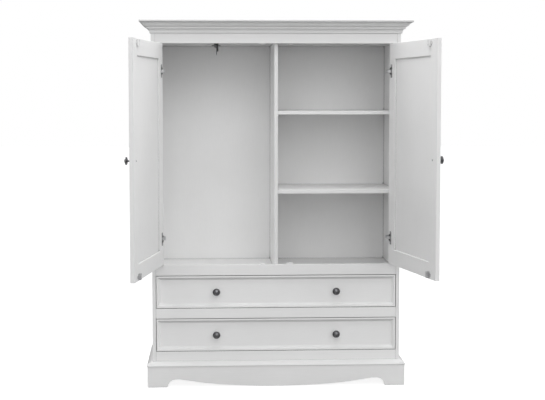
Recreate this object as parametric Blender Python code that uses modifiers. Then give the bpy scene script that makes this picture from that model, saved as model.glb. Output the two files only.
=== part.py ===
"""Two-door, two-drawer armoire with a moulded cornice, bracket-foot plinth,
hanging compartment, two shelves and a pull-out hanger rail.

World frame: metres, +Z up, X to the right, front towards -Y.  The origin is on
the floor, at the middle of the underside of the rear plinth board.
"""
import math

import bmesh
import bpy
from mathutils import Matrix, Vector

# ---------------------------------------------------------------- dimensions
MM = 0.001
GAP = 0.3                 # clearance kept between touching pieces
FRONT = -471.0            # y of the case front plane
HALF_W = 663.0            # half the outer width of the case
INNER = 644.0             # half the clear width between the side panels
CASE_D = 482.0            # case depth behind the front plane
BACK_D = 470.3            # depth of the back panel's front face
BOARD = 19.0              # thickness of shelves, divider, tops and bottoms
RAIL_T = 22.0             # thickness of front rails, doors and drawer fronts

TOP_Z = 1951.0            # top of the cornice
TOPBOARD_T = 10.0
CORNICE_Z0 = 1884.0       # underside of the cornice moulding
FRIEZE_Z0 = 1831.2        # underside of the rail above the doors
CEIL_Z = 1836.0           # underside of the inner top panel
FLOORRAIL_Z1 = 654.0      # top edge of the rail under the doors
FLOOR_Z = 622.0           # top face of the cabinet floor
D1_TOP, D1_BOT = 594.9, 421.0     # joint lines above and below the upper drawer
D2_TOP, D2_BOT = 363.8, 189.0     # the same for the lower drawer
JOINT = 1.5               # half of the gap round each drawer front
PLINTH_Z = 111.3          # top of the plinth boards
PLINTH_O = 26.6           # how far the plinth stands out from the case
PANEL_Z0 = 60.0           # bottom of the side panels, hidden by the plinth
BACK_Z0 = 120.0           # bottom of the back panel

DIVIDER_D = 25.0          # front of the centre divider behind the front plane
SHELF_D = 30.0            # front of the shelves
SHELF_HI_Z = 1473.5       # top faces of the two shelves
SHELF_LO_Z = 1050.0

DOOR_GAP = 2.0            # gap at the hinge edge, top and bottom of each door
DOOR_W = 640.5
DOOR_Z0 = FLOORRAIL_Z1 + DOOR_GAP
DOOR_Z1 = FRIEZE_Z0 - DOOR_GAP
DOOR_OPEN = {-1: 100.2, 1: 102.1}    # opening angle at rest, degrees
DOOR_REACH = {-1: 43.0, 1: 42.0}     # hinge corner to side panel when open
HINGE_Z = (797.0, 1684.0)
KNOB_S = 594.0            # door knob centre from the hinge edge
KNOB_Z = 1241.0
DRAWER_KNOB_X = 321.0

DRAWER_SIDE_T = 12.0
DRAWER_LEN = 430.0        # drawer box reach behind the front plane
HANGER_X = -317.0         # centre line of the pull-out hanger rail
HANGER_D0, HANGER_D1 = 30.0, 390.0

# ---------------------------------------------------------------- scene setup
for ob in list(bpy.data.objects):
    bpy.data.objects.remove(ob, do_unlink=True)

PARTS = bpy.data.collections.new("armoire")
bpy.context.scene.collection.children.link(PARTS)
CUTTERS = bpy.data.collections.new("armoire_cutters")
bpy.context.scene.collection.children.link(CUTTERS)

FINISH = {
    "paint": ((0.83, 0.83, 0.83, 1.0), 0.0, 0.42),
    "back": ((0.80, 0.80, 0.80, 1.0), 0.0, 0.55),
    "box": ((0.76, 0.75, 0.73, 1.0), 0.0, 0.60),
    "plastic": ((0.78, 0.78, 0.78, 1.0), 0.0, 0.35),
    "steel": ((0.42, 0.42, 0.43, 1.0), 1.0, 0.35),
    "black": ((0.03, 0.03, 0.03, 1.0), 0.6, 0.40),
    "pewter": ((0.10, 0.10, 0.105, 1.0), 0.9, 0.38),
}


def material(name, finish):
    colour, metallic, rough = FINISH[finish]
    mat = bpy.data.materials.new("mat_" + name)
    mat.use_nodes = True
    bsdf = mat.node_tree.nodes["Principled BSDF"]
    bsdf.inputs["Base Color"].default_value = colour
    bsdf.inputs["Metallic"].default_value = metallic
    bsdf.inputs["Roughness"].default_value = rough
    mat.diffuse_color = colour
    return mat


def to_world(x, d, z):
    """Case coordinates in mm (x, depth behind the front plane, height) to metres."""
    return Vector((x * MM, (FRONT + d) * MM, z * MM))


def make_object(name, bm, origin, finish=None, smooth=False, collection=None):
    """Turn a bmesh in case millimetres into an object with its origin at origin."""
    org = to_world(*origin)
    for v in bm.verts:
        v.co = to_world(*v.co) - org
    bmesh.ops.recalc_face_normals(bm, faces=bm.faces[:])
    mesh = bpy.data.meshes.new(name)
    bm.to_mesh(mesh)
    bm.free()
    ob = bpy.data.objects.new(name, mesh)
    ob.location = org
    (collection or PARTS).objects.link(ob)
    if finish:
        mesh.materials.append(material(name, finish))
    if smooth:
        mesh.shade_smooth()
        mesh.set_sharp_from_angle(angle=math.radians(32))
    return ob


def bevel(ob, width, segments=2, angle=40):
    mod = ob.modifiers.new("edge", "BEVEL")
    mod.width = width * MM
    mod.segments = segments
    mod.limit_method = "ANGLE"
    mod.angle_limit = math.radians(angle)
    mod.harden_normals = False
    return mod


def box_bm(x0, x1, d0, d1, z0, z1):
    bm = bmesh.new()
    bmesh.ops.create_cube(bm, size=1.0)
    for v in bm.verts:
        v.co = Vector(((x0 + x1) / 2 + v.co.x * (x1 - x0),
                       (d0 + d1) / 2 + v.co.y * (d1 - d0),
                       (z0 + z1) / 2 + v.co.z * (z1 - z0)))
    return bm


def board(name, x0, x1, d0, d1, z0, z1, finish="paint", edge=1.0, segments=2):
    bm = box_bm(x0, x1, d0, d1, z0, z1)
    ob = make_object(name, bm, ((x0 + x1) / 2, (d0 + d1) / 2, (z0 + z1) / 2), finish)
    if edge:
        bevel(ob, edge, segments)
    return ob


def prism_bm(points, thickness):
    """Flat outline (list of 3-D points) pulled along the thickness vector."""
    bm = bmesh.new()
    face = bm.faces.new([bm.verts.new(p) for p in points])
    out = bmesh.ops.extrude_face_region(bm, geom=[face])
    for v in [g for g in out["geom"] if isinstance(g, bmesh.types.BMVert)]:
        v.co += Vector(thickness)
    return bm


def spin_bm(profile, centre, axis, steps):
    """Revolve (radius, distance along axis) pairs; both ends lie on the axis."""
    axis = Vector(axis).normalized()
    side = axis.orthogonal().normalized()
    centre = Vector(centre)
    bm = bmesh.new()
    verts = [bm.verts.new(centre + side * r + axis * h) for r, h in profile]
    edges = [bm.edges.new((a, b)) for a, b in zip(verts, verts[1:])]
    bmesh.ops.spin(bm, geom=verts + edges, cent=centre, axis=axis,
                   angle=2 * math.pi, steps=steps, use_merge=True)
    bmesh.ops.remove_doubles(bm, verts=bm.verts[:], dist=0.001)
    return bm


def cut(ob, cutter_bm, name, origin, transform=None, op="DIFFERENCE"):
    """Boolean with a wire-drawn cutter that is hidden from rendering."""
    tool = make_object("cut_" + name, cutter_bm, origin, collection=CUTTERS)
    tool.hide_render = True
    tool.display_type = "WIRE"
    if transform:
        transform(tool)
    mod = ob.modifiers.new("cut_" + name, "BOOLEAN")
    mod.operation = op
    mod.solver = "EXACT"
    mod.object = tool
    return tool


def mitred_run(profile, stations, closed=False):
    """Run one profile from corner station to corner station with mitred turns."""
    bm = bmesh.new()
    loops = [[bm.verts.new(station(*p)) for p in profile] for station in stations]
    n = len(profile)
    pairs = list(zip(loops, loops[1:])) + ([(loops[-1], loops[0])] if closed else [])
    for a, b in pairs:
        for i in range(n):
            bm.faces.new((a[i], a[(i + 1) % n], b[(i + 1) % n], b[i]))
    if not closed:
        bm.faces.new(loops[0])
        bm.faces.new(loops[-1])
    return bm


# ------------------------------------------------------------------ the case
for side, label in ((-1, "left"), (1, "right")):
    xs = sorted((side * INNER, side * HALF_W))
    board("side_panel_" + label, xs[0], xs[1], 0, CASE_D, PANEL_Z0,
          TOP_Z - TOPBOARD_T - GAP, edge=1.2)

IN = INNER - GAP
IN_D1 = BACK_D - GAP
IN_D0 = RAIL_T + GAP

board("top_rail", -IN, IN, 0, RAIL_T, FRIEZE_Z0, TOP_Z - TOPBOARD_T - GAP, edge=1.2)
board("top_panel", -IN, IN, IN_D0, IN_D1, CEIL_Z, CEIL_Z + BOARD, edge=0.8, segments=1)
board("floor_rail", -IN, IN, 0, RAIL_T, D1_TOP + JOINT, FLOORRAIL_Z1, edge=1.2)
board("cabinet_floor", -IN, IN, IN_D0, IN_D1, FLOOR_Z - BOARD, FLOOR_Z, edge=0.8, segments=1)
board("drawer_rail", -IN, IN, 0, RAIL_T, D2_TOP + JOINT, D1_BOT - JOINT, edge=1.2)
board("dust_board", -IN, IN, IN_D0, IN_D1, D1_BOT - JOINT - BOARD, D1_BOT - JOINT,
      "box", edge=0.8, segments=1)
board("bottom_rail", -IN, IN, 0, RAIL_T, 100, D2_BOT - JOINT, edge=1.2)
board("case_bottom", -IN, IN, IN_D0, IN_D1, D2_BOT - JOINT - BOARD, D2_BOT - JOINT,
      "box", edge=0.8, segments=1)
board("back_panel", -IN, IN, BACK_D, BACK_D + 6.0, BACK_Z0, TOP_Z - TOPBOARD_T - GAP,
      "back", edge=0.5, segments=1)
board("centre_divider", -BOARD / 2, BOARD / 2, DIVIDER_D, IN_D1,
      FLOOR_Z + GAP, CEIL_Z - GAP, edge=1.0)
for label, top in (("upper", SHELF_HI_Z), ("lower", SHELF_LO_Z)):
    board("shelf_" + label, BOARD / 2 + GAP, IN, SHELF_D, IN_D1, top - BOARD, top, edge=1.0)

# Cornice: a stepped moulding wrapped round the front and both sides, mitred at
# the two front corners, under a thin top board.
CORNICE = [(GAP, 1884.0), (5.0, 1884.0), (6.5, 1885.4), (6.5, 1893.4), (7.6, 1895.2),
           (8.6, 1898.6), (10.6, 1901.9), (13.6, 1904.7), (17.4, 1906.6), (20.4, 1907.2),
           (21.6, 1908.4), (21.6, 1916.6), (23.2, 1918.0), (27.6, 1918.6), (31.8, 1920.4),
           (35.4, 1923.6), (38.6, 1928.2), (42.0, 1932.4), (46.2, 1935.4), (50.4, 1936.6),
           (52.0, 1937.6), (52.0, 1940.7), (GAP, 1940.7)]
BASE = [(GAP, 136.2), (2.6, 136.2), (5.4, 135.6), (10.4, 134.2), (15.6, 132.0), (20.4, 129.0),
        (24.6, 125.2), (27.8, 120.8), (29.6, 116.6), (30.0, 113.6), (29.0, 111.6), (GAP, 111.6)]


def u_stations(back):
    return [lambda o, z: (-HALF_W - o, back, z),
            lambda o, z: (-HALF_W - o, -o, z),
            lambda o, z: (HALF_W + o, -o, z),
            lambda o, z: (HALF_W + o, back, z)]


ob = make_object("cornice_moulding", mitred_run(CORNICE, u_stations(CASE_D)),
                 (0, 0, CORNICE_Z0), "paint", smooth=True)
ob = make_object("base_moulding", mitred_run(BASE, u_stations(CASE_D)),
                 (0, 0, PLINTH_Z), "paint", smooth=True)

TOP_O = 59.0
board("cornice_top_board", -HALF_W - TOP_O, HALF_W + TOP_O, -TOP_O, CASE_D,
      TOP_Z - TOPBOARD_T, TOP_Z, edge=2.2, segments=3)

# Plinth: front board with a serpentine apron between two bracket feet, side
# boards with a plain arch, and a straight rear board.
PX = HALF_W + PLINTH_O
FOOT = [(583.7, 0.0), (581.6, 6.5), (577.6, 15.5), (572.0, 25.0), (565.0, 32.4),
        (556.0, 37.6), (545.0, 40.4), (531.0, 41.6), (514.0, 41.0), (492.0, 38.2),
        (462.0, 33.4), (430.0, 28.4), (392.0, 23.0), (345.0, 17.6), (290.0, 12.8),
        (230.0, 9.0), (165.0, 6.0), (100.0, 4.0), (40.0, 3.1)]
outline = [(-PX, 0.0)] + [(-x, z) for x, z in FOOT] + [(x, z) for x, z in reversed(FOOT)]
outline += [(PX, 0.0), (PX, PLINTH_Z), (-PX, PLINTH_Z)]
bm = prism_bm([(x, -PLINTH_O, z) for x, z in outline], (0, PLINTH_O - GAP, 0))
ob = make_object("plinth_front", bm, (0, -PLINTH_O, 0), "paint")
bevel(ob, 1.0, 2, 60)

ARCH = [(96.0, 0.0), (98.0, 8.0), (103.0, 19.0), (111.0, 29.5), (122.0, 36.8),
        (136.0, 40.6), (152.0, 41.6)]
for side, label in ((-1, "left"), (1, "right")):
    mid = (CASE_D - PLINTH_O) / 2
    outline = [(0.0, 0.0)] + [(d - PLINTH_O, z) for d, z in ARCH]
    outline += [(2 * mid + PLINTH_O - d, z) for d, z in reversed(ARCH)]
    outline += [(CASE_D, 0.0), (CASE_D, PLINTH_Z), (0.0, PLINTH_Z)]
    bm = prism_bm([(side * (HALF_W + GAP), d, z) for d, z in outline],
                  (side * (PLINTH_O - GAP), 0, 0))
    ob = make_object("plinth_" + label, bm, (side * HALF_W, CASE_D / 2, 0), "paint")
    bevel(ob, 1.0, 2, 60)
# rear board: full width under the side panels, narrower between them, up to the
# bottom of the back panel
outline = [(-HALF_W, 0.0), (HALF_W, 0.0), (HALF_W, PANEL_Z0 - GAP), (IN, PANEL_Z0 - GAP),
           (IN, BACK_Z0 - GAP), (-IN, BACK_Z0 - GAP), (-IN, PANEL_Z0 - GAP),
           (-HALF_W, PANEL_Z0 - GAP)]
bm = prism_bm([(x, 460.0, z) for x, z in outline], (0, CASE_D - 460.0, 0))
bevel(make_object("plinth_back", bm, (0, CASE_D, 0), "paint"), 1.0, 2, 60)

# ------------------------------------------------------------------- drawers
KNOB_STEPS = 28


def knob_profile(seat, inner):
    """Mushroom knob, its bolt through the front, and the bolt head inside.

    seat is the depth of the face the knob stands on, inner the depth of the
    face the bolt head bears on; distances run outwards (towards -Y).
    """
    s = -seat + GAP
    i = -inner - GAP
    return [(0.0, i - 2.6), (3.4, i - 2.6), (4.6, i - 1.5), (4.6, i), (2.1, i), (2.1, s),
            (10.8, s), (10.8, s + 1.6), (8.2, s + 3.2), (5.6, s + 6.6), (5.0, s + 12.0),
            (5.6, s + 17.6), (8.6, s + 20.2), (14.4, s + 21.8), (18.4, s + 23.2),
            (20.0, s + 25.4), (19.6, s + 27.8), (17.6, s + 29.4), (14.0, s + 31.8),
            (9.4, s + 33.8), (4.6, s + 34.8), (0.0, s + 35.1)]


DRAWERS = {"upper": (D1_BOT + JOINT, D1_TOP - JOINT, D1_BOT - JOINT),
           "lower": (D2_BOT + JOINT, D2_TOP - JOINT, D2_BOT - JOINT)}
FRONT_W = 641.0           # half the width of each drawer front
FRONT_RECESS = 13.5       # field behind the border
MOULD = [(11.5, 0.0), (0.5, 0.5), (5.6, 5.0), (6.2, 4.4), (6.2, 3.2), (1.5, 0.4)]
for label, (z0, z1, rest) in DRAWERS.items():
    # front: flat border, then a wide hollow moulding sunk to a flat field
    bm = box_bm(-FRONT_W, FRONT_W, 0, RAIL_T, z0, z1)
    face = min(bm.faces, key=lambda f: f.calc_center_median().y)
    for width, depth in MOULD:
        bmesh.ops.inset_region(bm, faces=[face], thickness=width, depth=-depth)
    ob = make_object(label + "_drawer_front", bm, (0, 0, (z0 + z1) / 2), "paint")
    zc = (z0 + z1) / 2
    for side in (-1, 1):
        tag = "left" if side < 0 else "right"
        hole = spin_bm([(0, -40), (2.7, -40), (2.7, 10), (0, 10)],
                       (side * DRAWER_KNOB_X, 0, zc), (0, -1, 0), 16)
        cut(ob, hole, label + "_drawer_hole_" + tag, (side * DRAWER_KNOB_X, 0, zc))
        bm = spin_bm(knob_profile(FRONT_RECESS, RAIL_T), (side * DRAWER_KNOB_X, 0, zc),
                     (0, -1, 0), KNOB_STEPS)
        make_object(label + "_drawer_knob_" + tag, bm, (side * DRAWER_KNOB_X, 0, zc),
                    "pewter", smooth=True)
    # box: two sides, back and a thin bottom let in between them
    s0 = rest + GAP
    s1 = z1 - 20.0
    sx = INNER - 5.0
    for side in (-1, 1):
        tag = "left" if side < 0 else "right"
        xs = sorted((side * (sx - DRAWER_SIDE_T), side * sx))
        board(label + "_drawer_side_" + tag, xs[0], xs[1], RAIL_T + GAP, DRAWER_LEN, s0, s1,
              "box", edge=1.0)
    bx = sx - DRAWER_SIDE_T - GAP
    board(label + "_drawer_back", -bx, bx, DRAWER_LEN - 12, DRAWER_LEN, s0 + 2, s1 - 6,
          "box", edge=1.0)
    board(label + "_drawer_bottom", -bx, bx, RAIL_T + GAP, DRAWER_LEN - 12 - GAP,
          s0 + 6, s0 + 12, "box", edge=0.5, segments=1)

# --------------------------------------------------------------------- doors
# Frame profile: (distance in from the outer edge, depth behind the outer face)
FRAME = [(0.8, 0.0), (69.0, 0.0), (70.0, 0.9), (73.4, 1.6), (77.4, 3.4), (80.4, 6.2),
         (81.6, 7.3), (84.0, 7.3), (84.0, 8.0), (77.0, 8.0), (77.0, 14.5), (84.0, 14.5),
         (84.0, 18.4), (80.4, 22.0), (0.8, 22.0), (0.0, 21.2), (0.0, 0.8)]


def pivot(side):
    """Axis (from the side panel's inner face, depth) that carries the hinge
    corner from its closed place to its open place."""
    a = math.radians(DOOR_OPEN[side])
    c, s = math.cos(a), math.sin(a)
    rx = DOOR_REACH[side] - (c * DOOR_GAP + s * RAIL_T)
    ry = 0.0 - (-s * DOOR_GAP + c * RAIL_T)
    # solve (I - R) v = (rx, ry), R = [[c, s], [-s, c]]
    det = (1 - c) ** 2 + s ** 2
    return ((1 - c) * rx + s * ry) / det, (-s * rx + (1 - c) * ry) / det


def swing(side):
    """Transform that turns a piece modelled closed to the rest angle and puts
    its origin on the hinge axis."""
    vx, vy = pivot(side)
    axis = to_world(side * (INNER - vx), vy, 0)
    turn = Matrix.Rotation(side * math.radians(DOOR_OPEN[side]), 4, "Z")

    def apply(ob):
        z = ob.location.z
        shift = ob.location - axis
        shift.z = 0.0
        ob.data.transform(turn @ Matrix.Translation(shift))
        ob.location = (axis.x, axis.y, z)
    return apply


for side, label in ((-1, "left"), (1, "right")):
    turn = swing(side)

    def px(s):
        """Distance from the hinge edge to case x, door closed."""
        return side * (INNER - DOOR_GAP - s)

    # frame: one profile run round four mitred corners
    corners = [lambda u, d: (px(u), d, DOOR_Z0 + u),
               lambda u, d: (px(DOOR_W - u), d, DOOR_Z0 + u),
               lambda u, d: (px(DOOR_W - u), d, DOOR_Z1 - u),
               lambda u, d: (px(u), d, DOOR_Z1 - u)]
    bm = mitred_run(FRAME, corners, closed=True)
    frame = make_object(label + "_door_frame", bm, (px(0), 0, DOOR_Z0), "paint")
    turn(frame)
    # panel let into the groove
    u = 77.0 + 0.4
    bm = box_bm(min(px(u), px(DOOR_W - u)), max(px(u), px(DOOR_W - u)), 8.3, 14.2,
                DOOR_Z0 + u, DOOR_Z1 - u)
    turn(make_object(label + "_door_panel", bm, (px(DOOR_W / 2), 11, (DOOR_Z0 + DOOR_Z1) / 2),
                     "paint"))
    # knob, bolted through the free stile
    hole = spin_bm([(0, -40), (2.7, -40), (2.7, 10), (0, 10)], (px(KNOB_S), 0, KNOB_Z),
                   (0, -1, 0), 16)
    cut(frame, hole, label + "_door_hole", (px(KNOB_S), 0, KNOB_Z), turn)
    bm = spin_bm(knob_profile(0.0, RAIL_T), (px(KNOB_S), 0, KNOB_Z), (0, -1, 0), KNOB_STEPS)
    turn(make_object(label + "_door_knob", bm, (px(KNOB_S), 0, KNOB_Z), "pewter", smooth=True))
    # catch blocks near the free edge: a body with a tongue towards the edge
    for tag, zc in (("upper", DOOR_Z1 - 20.0), ("lower", DOOR_Z0 + 20.0)):
        side_view = [(541.0, 0.0), (580.0, 0.0), (580.0, 2.6), (566.0, 2.6), (566.0, 9.6),
                     (563.6, 11.4), (543.4, 11.4), (541.0, 9.6)]
        bm = prism_bm([(px(s), RAIL_T + GAP + t, zc - 15.5) for s, t in side_view], (0, 0, 31.0))
        ob = make_object(label + "_door_catch_plate_" + tag, bm, (px(560.0), RAIL_T, zc), "steel")
        slot = box_bm(min(px(566.5), px(590.0)), max(px(566.5), px(590.0)), RAIL_T - 5,
                      RAIL_T + 8, zc + 6.0, zc + 25.0)
        cut(ob, slot, label + "_catch_notch_a_" + tag, (px(570.0), RAIL_T, zc), None)
        slot = box_bm(min(px(566.5), px(590.0)), max(px(566.5), px(590.0)), RAIL_T - 5,
                      RAIL_T + 8, zc - 25.0, zc - 6.0)
        cut(ob, slot, label + "_catch_notch_b_" + tag, (px(570.0), RAIL_T, zc), None)
        for tool in [m.object for m in ob.modifiers]:
            turn(tool)
        turn(ob)
    # cup hinges: pocket in the stile, cup with wings and knuckle on the door,
    # cranked arm with its plate on the side panel
    for tag, zc in zip(("lower", "upper"), HINGE_Z):
        cx = px(22.0)
        pocket = spin_bm([(0, -RAIL_T + 12.8), (17.9, -RAIL_T + 12.8), (17.9, -RAIL_T - 6),
                          (0, -RAIL_T - 6)], (cx, 0, zc), (0, -1, 0), 32)
        cut(frame, pocket, label + "_door_pocket_" + tag, (cx, 0, zc), turn)
        # cup: a short drum, hollowed below once its wings are on
        cup = spin_bm([(0, -RAIL_T + 12.4), (17.4, -RAIL_T + 12.4), (17.4, -RAIL_T - 1.0),
                       (0, -RAIL_T - 1.0)], (cx, 0, zc), (0, -1, 0), 32)
        ob = make_object("hinge_cup_" + label + "_" + tag, cup, (cx, 0, zc), "steel",
                         smooth=True)
        turn(ob)
        # wings: a plate on the stile's inner face, round the cup's mouth
        wing = [(1.0, -34.0), (18.0, -34.0), (18.0, 34.0), (1.0, 34.0), (1.0, 21.0),
                (-8.0, 18.0), (-16.2, 10.0), (-19.0, 0.0), (-16.2, -10.0), (-8.0, -18.0),
                (1.0, -21.0)]
        bm = prism_bm([(px(22.0 + a), RAIL_T + GAP, zc + b) for a, b in wing], (0, 1.9, 0))
        cut(ob, bm, "hinge_wing_" + label + "_" + tag, (cx, 0, zc), turn, "UNION")
        bore = spin_bm([(0, -RAIL_T + 10.6), (15.6, -RAIL_T + 10.6), (15.6, -RAIL_T - 8),
                        (0, -RAIL_T - 8)], (cx, 0, zc), (0, -1, 0), 32)
        cut(ob, bore, "hinge_bore_" + label + "_" + tag, (cx, 0, zc), turn)
        # knuckle: bent strip out of the cup towards the side panel
        strip = [(15.0, 10.6), (18.6, 10.6), (17.6, 21.0), (15.8, 27.0), (12.6, 32.0),
                 (12.6, 36.0), (6.0, 36.0), (6.0, 31.0), (12.2, 25.6), (14.2, 20.0)]
        bm = prism_bm([(side * (INNER - a), b, zc - 8.5) for a, b in strip], (0, 0, 17.0))
        cut(ob, bm, "hinge_knuckle_" + label + "_" + tag, (cx, 0, zc), turn, "UNION")
        # cranked arm on the case
        arm = [(0.0 + GAP, 50.0), (11.0, 50.0), (17.0, 47.0), (41.0, 28.0), (53.0, 27.0),
               (53.0, 35.0), (44.0, 38.5), (22.0, 57.0), (13.0, 62.0), (13.0, 100.0), (GAP, 100.0)]
        bm = prism_bm([(side * (INNER - a), b, zc - 8.0) for a, b in arm], (0, 0, 16.0))
        ob = make_object("hinge_arm_" + label + "_" + tag, bm, (side * INNER, 70, zc), "steel")
        plate = box_bm(min(side * (INNER - GAP), side * (INNER - 2.6)),
                       max(side * (INNER - GAP), side * (INNER - 2.6)),
                       62, 92, zc - 25, zc + 25)
        cut(ob, plate, "hinge_plate_" + label + "_" + tag, (side * INNER, 70, zc), None, "UNION")

    # strikes on the case, behind the closed door's free stile
    xs = sorted((px(550.0), px(584.0)))
    bm = box_bm(xs[0], xs[1], 25.6, 47, FRIEZE_Z0 - 4.7, CEIL_Z - GAP)
    ob = make_object("catch_%s_upper" % label, bm, ((xs[0] + xs[1]) / 2, 36, CEIL_Z), "plastic")
    bevel(ob, 1.5, 2)
    bm = box_bm(xs[0], xs[1], 25.6, 47, FLOOR_Z + GAP, FLOORRAIL_Z1 + 5.2)
    ob = make_object("catch_%s_lower" % label, bm, ((xs[0] + xs[1]) / 2, 36, FLOOR_Z), "plastic")
    bevel(ob, 1.5, 2)

# --------------------------------------------------------- pull-out hanger rail
# channel: downward-open C section screwed under the top panel, with two ears
zt = CEIL_Z - GAP
sec = [(-11.0, 0.0), (-11.0, -9.8), (-5.0, -9.8), (-5.0, -8.4), (-9.4, -8.4),
       (-9.4, -1.8), (9.4, -1.8), (9.4, -8.4), (5.0, -8.4), (5.0, -9.8), (11.0, -9.8),
       (11.0, 0.0)]
bm = prism_bm([(HANGER_X + a, HANGER_D0, zt + b) for a, b in sec], (0, HANGER_D1 - HANGER_D0, 0))
ob = make_object("hanger_channel", bm, (HANGER_X, HANGER_D0, zt), "black")
for i, d in enumerate((HANGER_D0 + 1.0, HANGER_D1 - 17.0)):
    ear = box_bm(HANGER_X - 25, HANGER_X + 25, d, d + 16, zt - 2.2, zt)
    cut(ob, ear, "hanger_ear_%d" % i, (HANGER_X, d, zt), None, "UNION")

# slide: T-section bar riding in the channel, with a down-turned flat bar and a
# thin tongue under it at the front end
sec = [(-8.6, -5.2), (-8.6, -7.8), (-4.4, -7.8), (-4.4, -14.0), (4.4, -14.0),
       (4.4, -7.8), (8.6, -7.8), (8.6, -5.2)]
bm = prism_bm([(HANGER_X + a, HANGER_D0 + 2.0, zt + b) for a, b in sec], (0, 346.0, 0))
ob = make_object("hanger_slide", bm, (HANGER_X, HANGER_D0, zt - 12), "black")
hook = [(-0.6, -10.4), (10.4, -10.4), (10.4, -44.6), (8.8, -47.0), (3.4, -47.0),
        (3.0, -63.0), (1.4, -66.0), (-0.2, -63.0), (-0.6, -47.0)]
bm = prism_bm([(HANGER_X + a, HANGER_D0 - 4.0, zt + b) for a, b in hook], (0, 9.0, 0))
cut(ob, bm, "hanger_hook", (HANGER_X, HANGER_D0, zt), None, "UNION")
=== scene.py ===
"""Looks for the armoire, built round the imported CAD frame."""
import math
import bmesh
import bpy
from mathutils import Matrix, Vector


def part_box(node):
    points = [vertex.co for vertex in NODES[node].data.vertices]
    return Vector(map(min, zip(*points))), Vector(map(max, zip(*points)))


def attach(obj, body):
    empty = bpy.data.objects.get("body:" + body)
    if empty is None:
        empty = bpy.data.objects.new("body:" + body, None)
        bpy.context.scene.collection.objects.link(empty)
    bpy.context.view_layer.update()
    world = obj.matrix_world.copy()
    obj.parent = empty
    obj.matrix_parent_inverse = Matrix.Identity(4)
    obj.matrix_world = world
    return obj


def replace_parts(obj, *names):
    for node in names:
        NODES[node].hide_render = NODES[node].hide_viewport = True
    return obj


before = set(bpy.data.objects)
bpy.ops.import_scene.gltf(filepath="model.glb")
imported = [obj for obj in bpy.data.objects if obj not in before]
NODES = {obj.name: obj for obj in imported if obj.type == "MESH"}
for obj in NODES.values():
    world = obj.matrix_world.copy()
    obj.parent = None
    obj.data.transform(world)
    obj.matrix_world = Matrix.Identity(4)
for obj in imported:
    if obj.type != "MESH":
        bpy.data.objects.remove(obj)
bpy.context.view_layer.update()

MM = 0.001
scene = bpy.context.scene
scene.view_settings.view_transform = "Standard"
scene.view_settings.look = "None"

# ------------------------------------------------------------------ materials


class Net:
    """Small helper for wiring shader nodes."""

    def __init__(self, name):
        self.mat = bpy.data.materials.new(name)
        self.mat.use_nodes = True
        self.nt = self.mat.node_tree
        self.bsdf = self.nt.nodes["Principled BSDF"]

    def node(self, kind, **props):
        n = self.nt.nodes.new(kind)
        for k, v in props.items():
            setattr(n, k, v)
        return n

    def link(self, a, b):
        self.nt.links.new(a, b)

    def coords(self, scale):
        tc = self.node("ShaderNodeTexCoord")
        mp = self.node("ShaderNodeMapping")
        mp.inputs["Scale"].default_value = scale
        self.link(tc.outputs["Object"], mp.inputs["Vector"])
        return mp.outputs["Vector"]

    def noise(self, vec, scale, detail=2.0, rough=0.5):
        n = self.node("ShaderNodeTexNoise")
        n.inputs["Scale"].default_value = scale
        n.inputs["Detail"].default_value = detail
        n.inputs["Roughness"].default_value = rough
        self.link(vec, n.inputs["Vector"])
        return n.outputs["Fac"]

    def ramp(self, fac, stops):
        r = self.node("ShaderNodeValToRGB")
        els = r.color_ramp.elements
        while len(els) < len(stops):
            els.new(0.5)
        for e, (pos, col) in zip(els, stops):
            e.position = pos
            e.color = (col, col, col, 1.0) if isinstance(col, float) else (*col, 1.0)
        self.link(fac, r.inputs["Fac"])
        return r.outputs["Color"]

    def spread(self, fac, lo, hi, from_lo=0.3, from_hi=0.7):
        m = self.node("ShaderNodeMapRange")
        m.inputs["From Min"].default_value = from_lo
        m.inputs["From Max"].default_value = from_hi
        m.inputs["To Min"].default_value = lo
        m.inputs["To Max"].default_value = hi
        self.link(fac, m.inputs["Value"])
        return m.outputs["Result"]

    def math(self, op, a, b):
        m = self.node("ShaderNodeMath", operation=op)
        for i, v in enumerate((a, b)):
            if isinstance(v, (int, float)):
                m.inputs[i].default_value = v
            else:
                self.link(v, m.inputs[i])
        return m.outputs[0]

    def mix(self, fac, a, b, mode="MIX"):
        m = self.node("ShaderNodeMix", data_type="RGBA", blend_type=mode)
        for key, v in ((0, fac), (6, a), (7, b)):
            if isinstance(v, (int, float)):
                m.inputs[key].default_value = v
            elif isinstance(v, tuple):
                m.inputs[key].default_value = (*v, 1.0) if len(v) == 3 else v
            else:
                self.link(v, m.inputs[key])
        return m.outputs[2]

    def bump(self, height, strength, distance, after=None):
        b = self.node("ShaderNodeBump")
        b.inputs["Strength"].default_value = strength
        b.inputs["Distance"].default_value = distance
        self.link(height, b.inputs["Height"])
        if after is not None:
            self.link(after, b.inputs["Normal"])
        return b.outputs["Normal"]


STRETCH = {"x": (0.06, 1.0, 1.0), "y": (1.0, 0.06, 1.0), "z": (1.0, 1.0, 0.06)}


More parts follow.
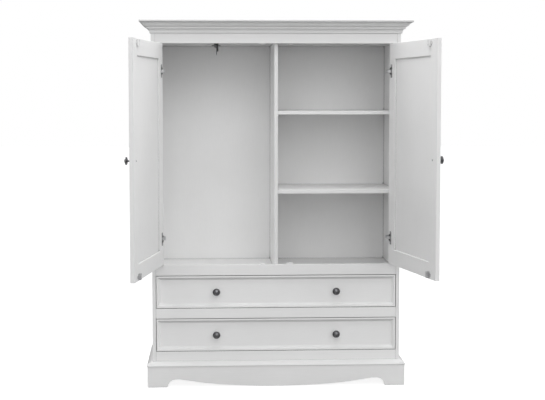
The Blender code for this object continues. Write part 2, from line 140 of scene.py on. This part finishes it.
def paint(name, grain="z", tone=0.83, crease=0.35, rough=0.40, wear=0.5, front_shade=0.0, gap_shade=0.95, slope_shade=0.0, tilt_shade=0.0):
    """Satin white lacquer on a board: fine roller stipple, faint grain showing
    through along the board, painted shade in creases, joints and some facing or sloping faces, and worn arrises."""
    m = Net(name)
    vec = m.coords((1.0, 1.0, 1.0))
    along = m.coords(STRETCH[grain])
    streak = m.noise(along, 260.0, 4.0, 0.62)
    broad = m.noise(vec, 3.4, 3.0, 0.55)
    stipple = m.noise(vec, 900.0, 2.0, 0.5)
    base = m.ramp(m.math("ADD", m.math("MULTIPLY", streak, 0.45), m.math("MULTIPLY", broad, 0.55)),
                  [(0.30, (tone * 0.968, tone * 0.968, tone * 0.966)),
                   (0.70, (tone * 1.022, tone * 1.022, tone * 1.022))])
    # creases: painted shade, a little grey where occlusion within a few millimetres is strong
    ao = m.node("ShaderNodeAmbientOcclusion", samples=6)
    ao.inputs["Distance"].default_value = 0.007
    crease_shade = m.spread(ao.outputs["AO"], crease, 0.0, 0.25, 0.85)
    crease_shade = m.math("MULTIPLY", crease_shade, m.spread(m.noise(vec, 38.0, 3.0, 0.6), 0.75, 1.1))
    col = m.mix(crease_shade, base, (tone * 0.42, tone * 0.42, tone * 0.41))
    # narrow joints between boards: almost closed off, so painted nearly black as shade
    shut = m.node("ShaderNodeAmbientOcclusion", samples=8)
    shut.inputs["Distance"].default_value = 0.016
    col = m.mix(m.spread(shut.outputs["AO"], gap_shade, 0.0, 0.18, 0.60), col,
                (tone * 0.05, tone * 0.05, tone * 0.048))
    # painted shade on front-facing edges, a tone offset set by matching brightness, not a seen coat
    if front_shade:
        geo = m.node("ShaderNodeNewGeometry")
        sep = m.node("ShaderNodeSeparateXYZ")
        m.link(geo.outputs["Normal"], sep.inputs["Vector"])
        facing = m.spread(m.math("MULTIPLY", sep.outputs["Y"], -1.0), 0.0, front_shade, 0.6, 0.9)
        col = m.mix(facing, col, (tone * 0.70, tone * 0.70, tone * 0.70))
    # painted shade on the upright bevels round the door panels, a tone offset set by matching brightness
    if tilt_shade:
        tex = m.node("ShaderNodeTexCoord")
        sep = m.node("ShaderNodeSeparateXYZ")
        m.link(tex.outputs["Normal"], sep.inputs["Vector"])
        ny = m.math("ABSOLUTE", sep.outputs["Y"], 0.0)
        window = m.math("MULTIPLY", m.spread(ny, 0.0, 1.0, 0.30, 0.42), m.spread(ny, 1.0, 0.0, 0.86, 0.94))
        col = m.mix(m.math("MULTIPLY", window, tilt_shade), col, (tone * 0.60, tone * 0.60, tone * 0.60))
    # painted shade on sloping faces, a tone offset set by matching brightness, not a seen soiling
    if slope_shade:
        geo = m.node("ShaderNodeNewGeometry")
        sep = m.node("ShaderNodeSeparateXYZ")
        m.link(geo.outputs["Normal"], sep.inputs["Vector"])
        tilt_shade = m.math("ABSOLUTE", sep.outputs["Z"], 0.0)
        col = m.mix(m.spread(tilt_shade, 0.0, slope_shade, 0.20, 0.65), col, (tone * 0.78, tone * 0.78, tone * 0.78))
    # worn arrises: the same test turned inside out finds thin outer edges
    edge = m.node("ShaderNodeAmbientOcclusion", samples=6, inside=True)
    edge.inputs["Distance"].default_value = 0.0022
    rub = m.spread(edge.outputs["AO"], wear, 0.0, 0.35, 0.8)
    rub = m.math("MULTIPLY", rub, m.spread(m.noise(vec, 55.0, 4.0, 0.7), 0.0, 1.0, 0.42, 0.66))
    col = m.mix(rub, col, (min(tone * 1.07, 0.95),) * 3)
    m.link(col, m.bsdf.inputs["Base Color"])
    rg = m.spread(m.noise(vec, 24.0, 3.0, 0.6), rough - 0.05, rough + 0.06)
    rg = m.math("ADD", rg, m.math("MULTIPLY", rub, -0.08))
    m.link(rg, m.bsdf.inputs["Roughness"])
    n1 = m.bump(streak, 0.10, 0.00025)
    n2 = m.bump(stipple, 0.10, 0.00012, n1)
    m.link(n2, m.bsdf.inputs["Normal"])
    m.bsdf.inputs["Specular IOR Level"].default_value = 0.42
    m.bsdf.inputs["Coat Weight"].default_value = 0.06
    m.bsdf.inputs["Coat Roughness"].default_value = 0.22
    return m.mat


def raw_board(name, grain="x", tone=(0.74, 0.70, 0.63)):
    """Pale sealed timber of the drawer boxes and hidden boards."""
    m = Net(name)
    along = m.coords({"x": (0.10, 1.0, 1.0), "y": (1.0, 0.10, 1.0), "z": (1.0, 1.0, 0.10)}[grain])
    vec = m.coords((1.0, 1.0, 1.0))
    rings = m.node("ShaderNodeTexNoise")
    rings.inputs["Scale"].default_value = 38.0
    rings.inputs["Detail"].default_value = 6.0
    rings.inputs["Roughness"].default_value = 0.62
    rings.inputs["Distortion"].default_value = 0.35
    m.link(along, rings.inputs["Vector"])
    fine = m.noise(along, 420.0, 3.0, 0.6)
    t = tone
    base = m.ramp(rings.outputs["Fac"], [(0.32, (t[0] * 0.90, t[1] * 0.875, t[2] * 0.84)),
                                         (0.52, t), (0.70, (t[0] * 1.05, t[1] * 1.05, t[2] * 1.04))])
    base = m.mix(m.spread(fine, 0.0, 0.22), base, (t[0] * 0.80, t[1] * 0.77, t[2] * 0.71))
    m.link(base, m.bsdf.inputs["Base Color"])
    m.link(m.spread(m.noise(vec, 40.0, 3.0), 0.50, 0.64), m.bsdf.inputs["Roughness"])
    m.link(m.bump(fine, 0.25, 0.0003, m.bump(rings.outputs["Fac"], 0.15, 0.0006)),
           m.bsdf.inputs["Normal"])
    return m.mat


def metal(name, tone, rough, metallic=1.0, worn=(0.5, 0.5, 0.5), grain=1200.0, wear=0.6, mottling=0.3,
          highlight_at=None):
    m = Net(name)
    vec = m.coords((1.0, 1.0, 1.0))
    broad = m.noise(vec, 90.0, 4.0, 0.65)
    fine = m.noise(vec, grain, 3.0, 0.6)
    base = m.ramp(broad, [(0.35, tuple(c * (1 - mottling) for c in tone)),
                          (0.65, tuple(min(1.0, c * (1 + mottling)) for c in tone))])
    if highlight_at:
        # painted highlight: the strip through the middle of each hinge is made lighter than its wings
        levels, highlight_tone = highlight_at
        tex = m.node("ShaderNodeTexCoord")
        sep = m.node("ShaderNodeSeparateXYZ")
        m.link(tex.outputs["Object"], sep.inputs["Vector"])
        near = None
        for z in levels:
            d = m.math("ABSOLUTE", m.math("SUBTRACT", sep.outputs["Z"], z), 0.0)
            near = d if near is None else m.math("MINIMUM", near, d)
        base = m.mix(m.spread(near, 1.0, 0.0, 0.0086, 0.0092), base, highlight_tone)
    edge = m.node("ShaderNodeAmbientOcclusion", samples=6, inside=True)
    edge.inputs["Distance"].default_value = 0.0016
    rub = m.spread(edge.outputs["AO"], wear, 0.0, 0.3, 0.8)
    rub = m.math("MULTIPLY", rub, m.spread(m.noise(vec, 160.0, 4.0, 0.7), 0.1, 1.0, 0.38, 0.62))
    col = m.mix(rub, base, worn)
    # painted shade: crevices within 3 mm are darkened
    ao = m.node("ShaderNodeAmbientOcclusion", samples=6)
    ao.inputs["Distance"].default_value = 0.003
    col = m.mix(m.spread(ao.outputs["AO"], 0.6, 0.0, 0.2, 0.8), col, tuple(c * 0.3 for c in tone))
    m.link(col, m.bsdf.inputs["Base Color"])
    m.link(m.spread(m.noise(vec, 260.0, 3.0), rough - 0.07, rough + 0.09), m.bsdf.inputs["Roughness"])
    m.link(m.bump(fine, 0.18, 0.00012, m.bump(broad, 0.10, 0.0003)), m.bsdf.inputs["Normal"])
    m.bsdf.inputs["Metallic"].default_value = metallic
    return m.mat


def plastic(name, tone, rough=0.34):
    m = Net(name)
    vec = m.coords((1.0, 1.0, 1.0))
    broad = m.noise(vec, 45.0, 3.0)
    fine = m.noise(vec, 2200.0, 2.0)
    col = m.ramp(broad, [(0.3, tuple(c * 0.97 for c in tone)), (0.7, tuple(min(1, c * 1.02) for c in tone))])
    # painted shade: crevices within 4 mm are darkened
    ao = m.node("ShaderNodeAmbientOcclusion", samples=6)
    ao.inputs["Distance"].default_value = 0.004
    col = m.mix(m.spread(ao.outputs["AO"], 0.75, 0.0, 0.2, 0.85), col, tuple(c * 0.25 for c in tone))
    m.link(col, m.bsdf.inputs["Base Color"])
    m.link(m.spread(m.noise(vec, 120.0, 3.0), rough - 0.05, rough + 0.07), m.bsdf.inputs["Roughness"])
    m.link(m.bump(fine, 0.16, 0.00008), m.bsdf.inputs["Normal"])
    return m.mat


PAINT = {g: paint("paint_" + g, g) for g in "xyz"}
# the tones below are lit and shaded copies of one white paint, set by matching brightness: darker tones are painted
# shade, lighter tones painted light
PAINT_MOULD_SHADED = paint("paint_cornice_shaded", "x", tone=0.745, crease=0.55, wear=0.3)
PAINT_BASE = paint("paint_base_moulding", "x", crease=0.55, wear=0.3, slope_shade=0.75)
PAINT_FRIEZE_SHADED = paint("paint_frieze_shaded", "x", tone=0.785)
PAINT_TOP_SHADED = paint("paint_top_board_shaded", "x", tone=0.62, wear=0.2, slope_shade=0.7)
PAINT_DRAWER = paint("paint_drawer_front", "x", crease=0.50, wear=0.35, slope_shade=0.80)
PAINT_DOOR_LIT = paint("paint_door", "z", tone=0.845, crease=0.25, wear=0.1, tilt_shade=0.38)
BACK = paint("back_board", "z", tone=0.84, crease=0.30, rough=0.55, wear=0.0)
BOX = {g: raw_board("drawer_timber_" + g, g) for g in "xyz"}
PAINT_SIDE_LIT = paint("paint_side_lit", "z", tone=0.90, front_shade=0.30)
PAINT_FLOOR_RAIL_SHADED = paint("paint_floor_rail_shaded", "x", tone=0.79)
SHELF_LIT = paint("paint_shelf_lit", "x", tone=0.875, wear=0.0, front_shade=0.55)
DIVIDER_LIT = paint("paint_divider_lit", "z", tone=0.885, wear=0.0, front_shade=0.62)
CEILING_SHADED = paint("paint_ceiling_shaded", "x", tone=0.66, wear=0.0)
STEEL = metal("zinc_steel", (0.56, 0.56, 0.57), 0.34, worn=(0.74, 0.74, 0.75), mottling=0.16)
BRIGHT = metal("nickel_screw", (0.66, 0.66, 0.67), 0.26, worn=(0.82, 0.82, 0.83), mottling=0.12)
# the knobs' rims are made bright: partly rubbed wear, partly a painted highlight on the rim bead
PEWTER = metal("dark_pewter", (0.205, 0.205, 0.212), 0.29, metallic=0.90, worn=(0.66, 0.66, 0.66), wear=0.75)
DARK_STEEL = metal("smoked_steel", (0.20, 0.20, 0.205), 0.36, worn=(0.60, 0.60, 0.60), wear=0.8, mottling=0.2,
                   highlight_at=((0.797, 1.684), (0.62, 0.62, 0.63)))
BLACK = metal("black_lacquered_steel", (0.022, 0.022, 0.023), 0.42, metallic=0.3, worn=(0.16, 0.16, 0.165), wear=0.5)
WHITE_PLASTIC = plastic("white_catch_plastic", (0.78, 0.78, 0.78))

LOOK = {}
for n in NODES:
    if n in ("side_panel_left", "side_panel_right"):
        LOOK[n] = PAINT_SIDE_LIT
    elif n == "floor_rail":
        LOOK[n] = PAINT_FLOOR_RAIL_SHADED
    elif n == "centre_divider":
        LOOK[n] = DIVIDER_LIT
    elif n in ("shelf_upper", "shelf_lower"):
        LOOK[n] = SHELF_LIT
    elif n == "top_panel":
        LOOK[n] = CEILING_SHADED
    elif n in ("plinth_left", "plinth_right"):
        LOOK[n] = PAINT["y"]
    elif n == "cornice_moulding":
        LOOK[n] = PAINT_MOULD_SHADED
    elif n == "base_moulding":
        LOOK[n] = PAINT_BASE
    elif n == "top_rail":
        LOOK[n] = PAINT_FRIEZE_SHADED
    elif n == "cornice_top_board":
        LOOK[n] = PAINT_TOP_SHADED
    elif n == "back_panel":
        LOOK[n] = BACK
    elif n.endswith("_drawer_front"):
        LOOK[n] = PAINT_DRAWER
    elif n.endswith("_door_frame") or n.endswith("_door_panel"):
        LOOK[n] = PAINT_DOOR_LIT
    elif "_drawer_side_" in n:
        LOOK[n] = BOX["y"]
    elif n.endswith(("_drawer_back", "_drawer_bottom")) or n in ("dust_board", "case_bottom"):
        LOOK[n] = BOX["x"]
    elif "knob" in n:
        LOOK[n] = PEWTER
    elif n.startswith("hinge_cup"):
        LOOK[n] = DARK_STEEL
    elif n.startswith("hinge_") or n.endswith("catch_plate_lower"):
        LOOK[n] = STEEL
    elif n.endswith("catch_plate_upper"):
        LOOK[n] = WHITE_PLASTIC
    elif n.startswith("hanger"):
        LOOK[n] = BLACK
    elif n.startswith("catch_"):
        LOOK[n] = WHITE_PLASTIC
    else:
        LOOK[n] = PAINT["x"]
for n, mat in LOOK.items():
    ob = NODES[n]
    ob.data.materials.clear()
    ob.data.materials.append(mat)

# -------------------------------------------------------------------- details
FRONT = -471.0
HALF_W, INNER, CASE_D, BOARD = 663.0, 644.0, 482.0, 19.0
DOOR_OPEN = {-1: 100.2, 1: 102.1}
DOOR_AXIS = {-1: (-0.630697, -0.477141), 1: (0.630892, -0.476167)}


def basis(x, y, z, along):
    """Placement in millimetres whose local Z runs along a given direction."""
    rot = Vector(along).to_track_quat("Z", "Y").to_matrix().to_4x4()
    return Matrix.Translation(Vector((x, y, z))) @ rot


def door_swing(side):
    """From the closed place to the rest place of a door, in metres."""
    ax = Vector((*DOOR_AXIS[side], 0.0))
    return (Matrix.Translation(ax) @ Matrix.Rotation(side * math.radians(DOOR_OPEN[side]), 4, "Z")
            @ Matrix.Translation(-ax))


def px(side, s):
    return side * (INNER - 2.0 - s)


def put(name, bm, mats, body, swing=None, sharp=34.0, smooth=True):
    """Finish a mesh drawn in millimetres and hang it on its body."""
    bmesh.ops.recalc_face_normals(bm, faces=bm.faces)
    me = bpy.data.meshes.new(name)
    bm.to_mesh(me)
    bm.free()
    me.transform(Matrix.Scale(MM, 4))
    if swing is not None:
        me.transform(swing)
    centre = sum((v.co for v in me.vertices), Vector()) / len(me.vertices)
    me.transform(Matrix.Translation(-centre))
    for mat in mats:
        me.materials.append(mat)
    if smooth:
        me.shade_smooth()
        me.set_sharp_from_angle(angle=math.radians(sharp))
    ob = bpy.data.objects.new(name, me)
    ob.location = centre
    scene.collection.objects.link(ob)
    bpy.context.view_layer.update()
    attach(ob, body)
    return ob


def lathe(bm, profile, place, steps=72, slot=0, close=True):
    """Turn a profile of (radius, height) round the local Z of a placement."""
    rings = []
    for r, h in profile:
        if r < 1e-6:
            rings.append([bm.verts.new(place @ Vector((0, 0, h)))])
        else:
            rings.append([bm.verts.new(place @ Vector((r * math.cos(2 * math.pi * k / steps),
                                                       r * math.sin(2 * math.pi * k / steps), h)))
                          for k in range(steps)])
    for a, b in zip(rings, rings[1:]):
        for k in range(steps):
            j = (k + 1) % steps
            if len(a) == 1 and len(b) == 1:
                continue
            if len(a) == 1:
                f = bm.faces.new((a[0], b[k], b[j]))
            elif len(b) == 1:
                f = bm.faces.new((a[k], a[j], b[0]))
            else:
                f = bm.faces.new((a[k], a[j], b[j], b[k]))
            f.material_index = slot


def screw(bm, place, r=3.6, h=1.5, turn=0.4, slot=0):
    """Pan head with a cross recess, standing on the placement's XY plane."""
    steps = 20
    rings = []
    for q, z in ((1.0, 0.0), (1.0, 0.22), (0.93, 0.55), (0.76, 0.86), (0.60, 1.0)):
        rings.append([bm.verts.new(place @ Vector((q * r * math.cos(2 * math.pi * k / steps),
                                                   q * r * math.sin(2 * math.pi * k / steps), z * h)))
                      for k in range(steps)])
    for a, b in zip(rings, rings[1:]):
        for k in range(steps):
            bm.faces.new((a[k], a[(k + 1) % steps], b[(k + 1) % steps], b[k])).material_index = slot
    bm.faces.new(rings[0][::-1]).material_index = slot
    w, l = 0.11 * r, 0.46 * r
    pts = [(l, -w), (l, w), (w, w), (w, l), (-w, l), (-w, w), (-l, w), (-l, -w),
           (-w, -w), (-w, -l), (w, -l), (w, -w)]
    c, s = math.cos(turn), math.sin(turn)
    top = [bm.verts.new(place @ Vector((x * c - y * s, x * s + y * c, h))) for x, y in pts]
    low = [bm.verts.new(place @ Vector((x * c - y * s, x * s + y * c, h * 0.35))) for x, y in pts]
    for k in range(12):
        bm.faces.new((top[k], top[(k + 1) % 12], low[(k + 1) % 12], low[k])).material_index = slot
    bm.faces.new(low[::-1]).material_index = slot
    ring = rings[-1]
    edges = [bm.edges.get((ring[k], ring[(k + 1) % steps])) for k in range(steps)]
    edges += [bm.edges.get((top[k], top[(k + 1) % 12])) for k in range(12)]
    for f in bmesh.ops.bridge_loops(bm, edges=edges)["faces"]:
        f.material_index = slot


# knobs: the turned knob with its rim bead, and the bolt with a domed head
def knob_lathe(bm, place, seat, inner):
    s, i = -seat + 0.3, -inner - 0.3
    lathe(bm, [(0.0, s), (10.6, s), (11.0, s + 0.7), (10.7, s + 1.6), (9.6, s + 2.3), (8.2, s + 3.2),
               (6.7, s + 4.7), (5.7, s + 6.6), (5.15, s + 9.0), (5.0, s + 12.0), (5.15, s + 15.0),
               (5.7, s + 17.6), (6.9, s + 19.2), (8.8, s + 20.3), (11.5, s + 21.2), (14.4, s + 21.9),
               (16.8, s + 22.6), (18.6, s + 23.5), (19.7, s + 24.6), (20.0, s + 25.8), (19.8, s + 27.1),
               (19.1, s + 28.2), (18.0, s + 28.8), (16.9, s + 28.5), (16.0, s + 27.6), (15.3, s + 26.6),
               (14.6, s + 26.2), (13.9, s + 26.6), (13.4, s + 27.8), (12.6, s + 29.9), (11.0, s + 31.9),
               (8.4, s + 33.7), (4.6, s + 34.8), (0.0, s + 35.1)], place)
    lathe(bm, [(0.0, s - 0.02), (2.1, s - 0.02), (2.1, i), (4.5, i), (4.6, i - 0.5), (4.5, i - 1.5), (3.5, i - 2.5),
               (0.0, i - 2.6)], place, steps=40, slot=1)


for node, ob in sorted(NODES.items()):
    if "knob" not in node:
        continue
    bm = bmesh.new()
    if "door" in node:
        side = -1 if node.startswith("left") else 1
        knob_lathe(bm, basis(px(side, 594.0), FRONT, 1241.0, (0, -1, 0)), 0.0, 22.0)
        new = put("turned_" + node, bm, [PEWTER, BRIGHT], node.split("_door")[0] + "_door",
                  door_swing(side))
    else:
        lo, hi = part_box(node)
        side = -1 if node.endswith("left") else 1
        knob_lathe(bm, basis(side * 321.0, FRONT, (lo[2] + hi[2]) / 2 / MM, (0, -1, 0)), 13.5, 22.0)
        new = put("turned_" + node, bm, [PEWTER, BRIGHT], node.split("_knob")[0])
    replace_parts(new, node)


# mouldings: the same sections with their hollows and rounds drawn finely
def flowing(points, runs, cuts=5):
    """Subdivide the listed runs of a section with a spline, keep the rest."""
    out = []
    n = len(points)
    for k in range(n):
        out.append(points[k])
        run = next((r for r in runs if r[0] <= k < r[1]), None)
        if run is None:
            continue
        a, b = Vector(points[k]), Vector(points[k + 1])
        before = Vector(points[k - 1]) if k > run[0] else a - (b - a)
        after = Vector(points[k + 2]) if k + 2 <= run[1] else b + (b - a)
        for j in range(1, cuts):
            t = j / cuts
            p = 0.5 * ((2 * a) + (b - before) * t + (2 * before - 5 * a + 4 * b - after) * t * t
                       + (3 * a - before - 3 * b + after) * t ** 3)
            out.append((p.x, p.y))
    return out


CORNICE = [(0.3, 1884.0), (5.0, 1884.0), (6.5, 1885.4), (6.5, 1893.4), (7.6, 1895.2),
           (8.6, 1898.6), (10.6, 1901.9), (13.6, 1904.7), (17.4, 1906.6), (20.4, 1907.2),
           (21.6, 1908.4), (21.6, 1916.6), (23.2, 1918.0), (27.6, 1918.6), (31.8, 1920.4),
           (35.4, 1923.6), (38.6, 1928.2), (42.0, 1932.4), (46.2, 1935.4), (50.4, 1936.6),
           (52.0, 1937.6), (52.0, 1940.7), (0.3, 1940.7)]
BASE = [(0.3, 136.2), (2.6, 136.2), (5.4, 135.6), (10.4, 134.2), (15.6, 132.0), (20.4, 129.0),
        (24.6, 125.2), (27.8, 120.8), (29.6, 116.6), (30.0, 113.6), (29.0, 111.6), (0.3, 111.6)]
for name, section, runs in (("cornice_moulding", CORNICE, ((4, 9), (12, 19))),
                            ("base_moulding", BASE, ((1, 9),))):
    section = flowing(section, runs)
    bm = bmesh.new()
    loops = [[bm.verts.new((sx * (HALF_W + o), FRONT + (CASE_D if rear else -o), z)) for o, z in section]
             for sx, rear in ((-1, True), (-1, False), (1, False), (1, True))]
    for a, b in zip(loops, loops[1:]):
        for k in range(len(section)):
            j = (k + 1) % len(section)
            bm.faces.new((a[k], a[j], b[j], b[k]))
    bm.faces.new(loops[0])
    bm.faces.new(loops[-1])
    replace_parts(put("run_" + name, bm, [LOOK[name]], "case", sharp=24.0), name)

# screws of the hinges and catches
for side, label in ((-1, "left"), (1, "right")):
    bm = bmesh.new()
    for i, zc in enumerate((797.0, 1684.0)):
        for j, dz in enumerate((-27.0, 27.0)):
            screw(bm, basis(px(side, 31.5), FRONT + 24.15, zc + dz, (0, 1, 0)), 4.0, 1.7, 0.5 + i + 2 * j)
    put(label + "_door_hinge_screws", bm, [BRIGHT], label + "_door", door_swing(side))
    bm = bmesh.new()
    lo_hi = [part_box(label + "_door_catch_plate_" + t) for t in ("upper", "lower")]
    for i, (lo, hi) in enumerate(lo_hi):
        zc = (lo[2] + hi[2]) / 2 / MM
        for j, dz in enumerate((-9.0, 9.0)):
            screw(bm, basis(px(side, 553.5), FRONT + 33.65, zc + dz, (0, 1, 0)), 3.0, 1.3, 0.2 + i + j)
    put(label + "_door_catch_screws", bm, [BRIGHT], label + "_door", door_swing(side))
    bm = bmesh.new()
    for i, zc in enumerate((797.0, 1684.0)):
        for j, dz in enumerate((-17.0, 17.0)):
            screw(bm, basis(side * (INNER - 2.55), FRONT + 77.0, zc + dz, (-side, 0, 0)), 3.8, 1.6, 0.9 * i + j)
        for j, d in enumerate((70.0, 90.0)):
            screw(bm, basis(side * (INNER - 12.95), FRONT + d, zc, (-side, 0, 0)), 3.0, 1.2, 0.3 + i + j)
    put("hinge_plate_screws_" + label, bm, [BRIGHT], "case")
    bm = bmesh.new()
    for x in (66.0, 84.0):
        lo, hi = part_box("catch_%s_upper" % label)
        screw(bm, basis(side * x, FRONT + 37.0, lo[2] / MM + 0.05, (0, 0, -1)), 2.6, 1.1, x)
        lo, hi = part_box("catch_%s_lower" % label)
        screw(bm, basis(side * x, FRONT + 37.0, hi[2] / MM - 0.05, (0, 0, 1)), 2.6, 1.1, x)
    put("catch_screws_" + label, bm, [BRIGHT], "case")

# screws through the two ears of the hanger channel
bm = bmesh.new()
lo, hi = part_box("hanger_channel")
for y in (lo[1] / MM + 9.0, hi[1] / MM - 9.0):
    for dx in (-18.0, 18.0):
        screw(bm, basis(-317.0 + dx, y, 1835.7 - 2.15, (0, 0, -1)), 3.2, 1.3, dx + y)
put("hanger_channel_screws", bm, [BLACK], "case")

# shelf pins: a collar against the board and a stub under the shelf
bm = bmesh.new()
for node in ("shelf_upper", "shelf_lower"):
    lo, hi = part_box(node)
    z = lo[2] / MM - 2.7
    for y in (FRONT + 72.0, FRONT + 418.0):
        for x, way in ((9.55, 1), (643.9, -1)):
            lathe(bm, [(0.0, 0.0), (4.2, 0.0), (4.4, 0.3), (4.2, 0.9), (2.6, 1.1), (2.5, 7.4),
                       (2.0, 8.4), (0.0, 8.6)], basis(x, y, z - 1.9, (way, 0, 0)), steps=28)
put("shelf_pins", bm, [BRIGHT], "case")

# tacks that hold the back panel
bm = bmesh.new()
spots = [(x, z) for x in (-634, -424, -212, 0, 212, 424, 634) for z in (132, 1929)]
spots += [(x, z) for x in (-634, 0, 634) for z in range(290, 1900, 204)]
for x, z in spots:
    lathe(bm, [(0.0, 0.0), (3.6, 0.0), (3.4, 0.6), (2.4, 1.1), (1.2, 1.3), (0.0, 1.35)],
          basis(x, FRONT + 476.25, z, (0, 1, 0)), steps=18)
put("back_tacks", bm, [STEEL], "case")

# --------------------------------------------------------------------- stage
floor_m = Net("pale_floor")
fv = floor_m.coords((1.0, 1.0, 1.0))
floor_m.link(floor_m.ramp(floor_m.noise(fv, 0.8, 2.0), [(0.3, 0.34), (0.7, 0.36)]),
             floor_m.bsdf.inputs["Base Color"])
floor_m.bsdf.inputs["Roughness"].default_value = 0.9
floor_m.bsdf.inputs["Specular IOR Level"].default_value = 0.0
# the paper sweep is lit on its own, so that it reads as near white
floor_path = floor_m.node("ShaderNodeLightPath")
floor_m.bsdf.inputs["Emission Color"].default_value = (1.0, 1.0, 1.0, 1.0)
floor_m.link(floor_m.math("MULTIPLY", floor_path.outputs["Is Camera Ray"], 0.90),
             floor_m.bsdf.inputs["Emission Strength"])
bm = bmesh.new()
bmesh.ops.create_grid(bm, x_segments=1, y_segments=1, size=30.0)
me = bpy.data.meshes.new("floor")
bm.to_mesh(me)
bm.free()
me.materials.append(floor_m.mat)
floor = bpy.data.objects.new("floor", me)
floor.location = (0, 0, -0.0005)
scene.collection.objects.link(floor)

world = bpy.data.worlds.new("studio")
scene.world = world
world.use_nodes = True
wn = world.node_tree
bg = wn.nodes["Background"]
bg.inputs["Color"].default_value = (1, 1, 1, 1)
bg.inputs["Strength"].default_value = 0.02
seen = wn.nodes.new("ShaderNodeBackground")
seen.inputs["Color"].default_value = (1, 1, 1, 1)
seen.inputs["Strength"].default_value = 1.0
path = wn.nodes.new("ShaderNodeLightPath")
mixer = wn.nodes.new("ShaderNodeMixShader")
wn.links.new(path.outputs["Is Camera Ray"], mixer.inputs["Fac"])
wn.links.new(bg.outputs["Background"], mixer.inputs[1])
wn.links.new(seen.outputs["Background"], mixer.inputs[2])
wn.links.new(mixer.outputs["Shader"], wn.nodes["World Output"].inputs["Surface"])


def area(name, loc, aim, size, watts, spread=180):
    li = bpy.data.lights.new(name, "AREA")
    li.shape = "RECTANGLE"
    li.size, li.size_y = size
    li.energy = watts
    li.spread = math.radians(spread)
    ob = bpy.data.objects.new(name, li)
    ob.location = loc
    ob.rotation_euler = (Vector(aim) - Vector(loc)).to_track_quat("-Z", "Y").to_euler()
    scene.collection.objects.link(ob)
    return ob


def sun(name, elevation, azimuth, strength, angle=34):
    """Distant soft light; azimuth 0 comes from the front, 90 from the right."""
    el, az = math.radians(elevation), math.radians(azimuth)
    li = bpy.data.lights.new(name, "SUN")
    li.energy = strength
    li.angle = math.radians(angle)
    ob = bpy.data.objects.new(name, li)
    way = Vector((math.sin(az) * math.cos(el), -math.cos(az) * math.cos(el), math.sin(el)))
    ob.rotation_euler = way.to_track_quat("Z", "Y").to_euler()
    ob.location = way * 8.0
    scene.collection.objects.link(ob)
    return ob


area("overhead", (0, -0.6, 5.2), (0, -0.6, 0), (6, 4), 227.3)
area("high_front", (0, -6.5, 5.5), (0.0, -0.4, 0.9), (7, 3), 54.3)
area("above_doors", (0, -3.2, 5.0), (0.0, -0.4, 0.9), (5, 3), 43.3)
sun("front_wide", 10, 0, 0.751, 70)
sun("low_left", 10, -20, 0.177)
sun("low_right", 10, 20, 0.238)
sun("mid_left", 30, -20, 0.067)
sun("mid_right", 30, 20, 0.123)
sun("side_left", 30, -60, 0.13)
sun("side_right", 30, 60, 0.503)
sun("flank_left", 15, -90, 0.25)
sun("flank_right", 15, 90, 0.25)
sun("rear_left", 30, -120, 0.7)
sun("rear_right", 30, 120, 0.7)
sun("rear", 35, 180, 0.5)

# -------------------------------------------------------------------- camera
CAM_LOC = (-0.3456, -6.2219 - 0.471, 1.5429)
F_PX, CX, CY = 1172.875, 261.9945, 171.9941
PITCH, YAW, ROLL = math.radians(3.614), math.radians(2.475), math.radians(-0.031)
cam_data = bpy.data.cameras.new("camera")
cam = bpy.data.objects.new("camera", cam_data)
scene.collection.objects.link(cam)
fwd = Vector((math.sin(YAW) * math.cos(PITCH), math.cos(YAW) * math.cos(PITCH), -math.sin(PITCH)))
right0 = Vector((math.cos(YAW), -math.sin(YAW), 0.0))
up0 = right0.cross(fwd)
right = math.cos(ROLL) * right0 + math.sin(ROLL) * up0
up = -math.sin(ROLL) * right0 + math.cos(ROLL) * up0
cam.matrix_world = Matrix(((right.x, up.x, -fwd.x, CAM_LOC[0]),
                           (right.y, up.y, -fwd.y, CAM_LOC[1]),
                           (right.z, up.z, -fwd.z, CAM_LOC[2]),
                           (0, 0, 0, 1)))
cam_data.sensor_fit = "HORIZONTAL"
cam_data.sensor_width = 36.0
cam_data.lens = F_PX / 545.0 * 36.0
cam_data.shift_x = (272.5 - CX) / 545.0
cam_data.shift_y = (CY - 200.0) / 545.0
cam_data.clip_end = 100.0
cam_data.dof.use_dof = False
scene.camera = cam
